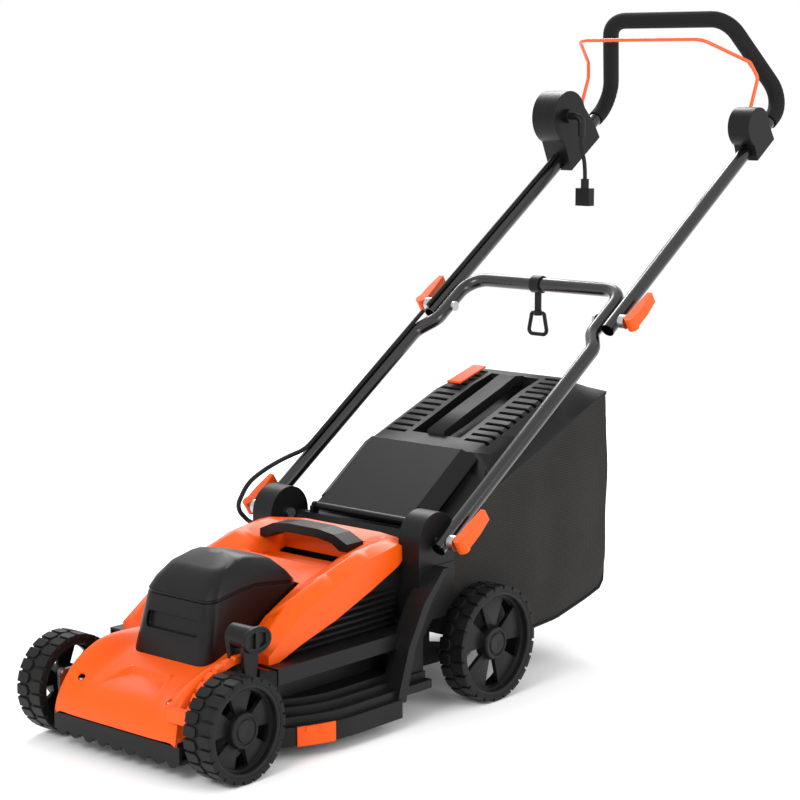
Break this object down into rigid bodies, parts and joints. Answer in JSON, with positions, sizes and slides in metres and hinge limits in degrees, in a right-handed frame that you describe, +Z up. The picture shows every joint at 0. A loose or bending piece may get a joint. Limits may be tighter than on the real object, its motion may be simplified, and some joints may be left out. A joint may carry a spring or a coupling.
{
  "type": "push lawn mower",
  "caption": "Electric walk-behind rotary lawn mower with folding two-part handle, grass box, cranked axles and a single height lever.",
  "frame": {"origin": "on the ground under the middle of the machine's outline, at the lowest cutting height", "axes": "-Y the way it is pushed, +Y towards the operator, +X the operator's left, +Z up"},
  "size_m": [0.432, 1.3564, 0.9988],
  "materials": {
    "dark_plastic": "moulded polypropylene, fine grain",
    "orange_plastic": "moulded, satin",
    "graphite_plastic": "moulded, satin",
    "knob_plastic": "moulded",
    "steel": "zinc plated",
    "handle_paint": "powder coated, satin",
    "orange_paint": "coated steel rod, satin",
    "foam": "closed-cell foam, matt",
    "tyre_plastic": "hard plastic tread",
    "rim_plastic": "moulded, satin",
    "bag_fabric": "woven polyester",
    "cable_jacket": "extruded, matt",
    "blade_steel": "painted spring steel",
    "motor_steel": "electrical steel laminations",
    "belt_rubber": "ribbed drive belt",
    "pulley": "turned"
  },
  "bodies": {
    "chassis": {"deck": "dark_plastic", "front_comb": "dark_plastic", "side_combs": "orange_plastic", "cowl": "orange_plastic", "carry_grip": "dark_plastic", "motor_hood": "dark_plastic", "screws": "steel", "height_track": "orange_plastic", "handle_hubs": "dark_plastic", "motor_stator": "motor_steel", "motor_base": "dark_plastic", "brush_frame": "dark_plastic", "bearings": "steel", "spindle_housing": "dark_plastic", "belt_cover": "dark_plastic", "drive_belt": "belt_rubber", "flap_hinge_pin": "steel", "cable_loop": "cable_jacket"},
    "lever": {"height_lever": "knob_plastic", "lever_knob": "dark_plastic"},
    "front_axle": {"front_axle": "steel"},
    "rear_axle": {"rear_axle": "steel"},
    "link": {"link_rod": "steel"},
    "wheel_front_left": {"front_left_tyre": "tyre_plastic", "front_left_rim": "rim_plastic"},
    "wheel_front_right": {"front_right_tyre": "tyre_plastic", "front_right_rim": "rim_plastic"},
    "wheel_rear_left": {"rear_left_tyre": "tyre_plastic", "rear_left_rim": "rim_plastic"},
    "wheel_rear_right": {"rear_right_tyre": "tyre_plastic", "rear_right_rim": "rim_plastic"},
    "rotor": {"armature": "motor_steel", "motor_pulley": "pulley"},
    "blade_set": {"spindle": "steel", "driven_pulley": "pulley", "blade": "blade_steel", "blade_bolt": "steel"},
    "flap": {"rear_flap": "dark_plastic"},
    "grass_box": {"box_lid": "dark_plastic", "grass_bag": "bag_fabric"},
    "indicator": {"fill_indicator": "orange_plastic"},
    "lower_handle": {"lower_tube": "handle_paint", "pivot_bolts": "steel", "lower_cable": "cable_jacket"},
    "upper_handle": {"upper_tube": "handle_paint", "foam_grip": "foam", "switch_box_inner": "dark_plastic", "switch_box_outer": "dark_plastic", "bail_box": "dark_plastic", "strain_relief": "graphite_plastic", "power_lead": "cable_jacket", "power_plug": "graphite_plastic", "upper_cable": "cable_jacket"},
    "lower_cam_left": {"lower_lever_left": "orange_plastic"},
    "lower_cam_right": {"lower_lever_right": "orange_plastic"},
    "upper_cam_left": {"upper_lever_left": "orange_plastic"},
    "upper_cam_right": {"upper_lever_right": "orange_plastic"},
    "bail": {"bail": "orange_paint"},
    "lock_button": {"lock_button": "orange_plastic"},
    "cord_hook": {"cord_hook": "graphite_plastic"}
  },
  "joints": [
    {"name": "height_adjust", "type": "hinge", "parent": "chassis", "child": "front_axle", "pos_m": [0, -0.64436, 0.05], "axis": [-1, 0, 0], "range_deg": [0, 60]},
    {"name": "height_lever", "type": "hinge", "parent": "chassis", "child": "lever", "pos_m": [0.121, -0.56972, 0.05], "axis": [1, 0, 0], "range_deg": [0, 53.33]},
    {"name": "rear_crank", "type": "hinge", "parent": "chassis", "child": "rear_axle", "pos_m": [0, -0.14736, 0.065], "axis": [-1, 0, 0], "range_deg": [0, 60.2]},
    {"name": "link_pivot", "type": "hinge", "parent": "front_axle", "child": "link", "pos_m": [-0.134, -0.64855, 0.09782], "axis": [-1, 0, 0], "range_deg": [-60.2, 0.2]},
    {"name": "spin_front_left", "type": "hinge", "parent": "front_axle", "child": "wheel_front_left", "pos_m": [0.163, -0.60972, 0.07], "axis": [1, 0, 0], "continuous": true},
    {"name": "spin_front_right", "type": "hinge", "parent": "front_axle", "child": "wheel_front_right", "pos_m": [-0.163, -0.60972, 0.07], "axis": [1, 0, 0], "continuous": true},
    {"name": "spin_rear_left", "type": "hinge", "parent": "rear_axle", "child": "wheel_rear_left", "pos_m": [0.18, -0.11272, 0.085], "axis": [1, 0, 0], "continuous": true},
    {"name": "spin_rear_right", "type": "hinge", "parent": "rear_axle", "child": "wheel_rear_right", "pos_m": [-0.18, -0.11272, 0.085], "axis": [1, 0, 0], "continuous": true},
    {"name": "blade_spin", "type": "hinge", "parent": "chassis", "child": "blade_set", "pos_m": [0, -0.40472, 0.04], "axis": [0, 0, 1], "continuous": true},
    {"name": "motor_spin", "type": "hinge", "parent": "chassis", "child": "rotor", "pos_m": [0, -0.47972, 0.15], "axis": [0, 0, 1], "continuous": true},
    {"name": "flap_hinge", "type": "hinge", "parent": "chassis", "child": "flap", "pos_m": [0, -0.18172, 0.26], "axis": [1, 0, 0], "range_deg": [0, 60], "stiffness_Nm_per_rad": 0.25, "springref_deg": -45.84},
    {"name": "box_out", "type": "slide", "parent": "chassis", "child": "grass_box", "axis": [0, 1, 0], "range_m": [0, 0.3]},
    {"name": "fill_indicator", "type": "hinge", "parent": "grass_box", "child": "indicator", "pos_m": [-0.08, 0.12328, 0.4136], "axis": [1, 0, 0], "range_deg": [0, 25]},
    {"name": "lower_fold", "type": "hinge", "parent": "chassis", "child": "lower_handle", "pos_m": [0, -0.20572, 0.248], "axis": [1, 0, 0], "range_deg": [0, 145], "deforming": ["cable_loop"]},
    {"name": "upper_fold", "type": "hinge", "parent": "lower_handle", "child": "upper_handle", "pos_m": [0, 0.19955, 0.52342], "axis": [-1, 0, 0], "range_deg": [0, 105]},
    {"name": "lower_cam_left", "type": "hinge", "parent": "lower_handle", "child": "lower_cam_left", "pos_m": [0.207, -0.20572, 0.248], "axis": [0, 0.5621, -0.8271], "range_deg": [0, 120]},
    {"name": "lower_cam_right", "type": "hinge", "parent": "lower_handle", "child": "lower_cam_right", "pos_m": [-0.207, -0.20572, 0.248], "axis": [0, -0.5621, 0.8271], "range_deg": [0, 120]},
    {"name": "upper_cam_left", "type": "hinge", "parent": "upper_handle", "child": "upper_cam_left", "pos_m": [0.207, 0.19955, 0.52342], "axis": [0, 0.5621, -0.8271], "range_deg": [0, 120]},
    {"name": "upper_cam_right", "type": "hinge", "parent": "upper_handle", "child": "upper_cam_right", "pos_m": [-0.207, 0.19955, 0.52342], "axis": [0, -0.5621, 0.8271], "range_deg": [0, 120]},
    {"name": "bail_swing", "type": "hinge", "parent": "upper_handle", "child": "bail", "pos_m": [0, 0.57274, 0.81936], "axis": [-1, 0, 0], "range_deg": [0, 26.5], "stiffness_Nm_per_rad": 0.6, "springref_deg": -28.65},
    {"name": "lock_press", "type": "slide", "parent": "upper_handle", "child": "lock_button", "axis": [1, 0, 0], "range_m": [0, 0.004], "stiffness_N_per_m": 600, "springref_m": -0.002},
    {"name": "hook_swing", "type": "hinge", "parent": "lower_handle", "child": "cord_hook", "pos_m": [-0.015, 0.25744, 0.56277], "axis": [1, 0, 0], "range_deg": [-50, 50]}
  ],
  "couplings": [
    {"joint": "height_lever", "follows": "height_adjust", "ratio": 0.8855},
    {"joint": "rear_crank", "follows": "height_adjust", "ratio": 1},
    {"joint": "link_pivot", "follows": "height_adjust", "ratio": -1},
    {"joint": "motor_spin", "follows": "blade_spin", "ratio": 4}
  ]
}
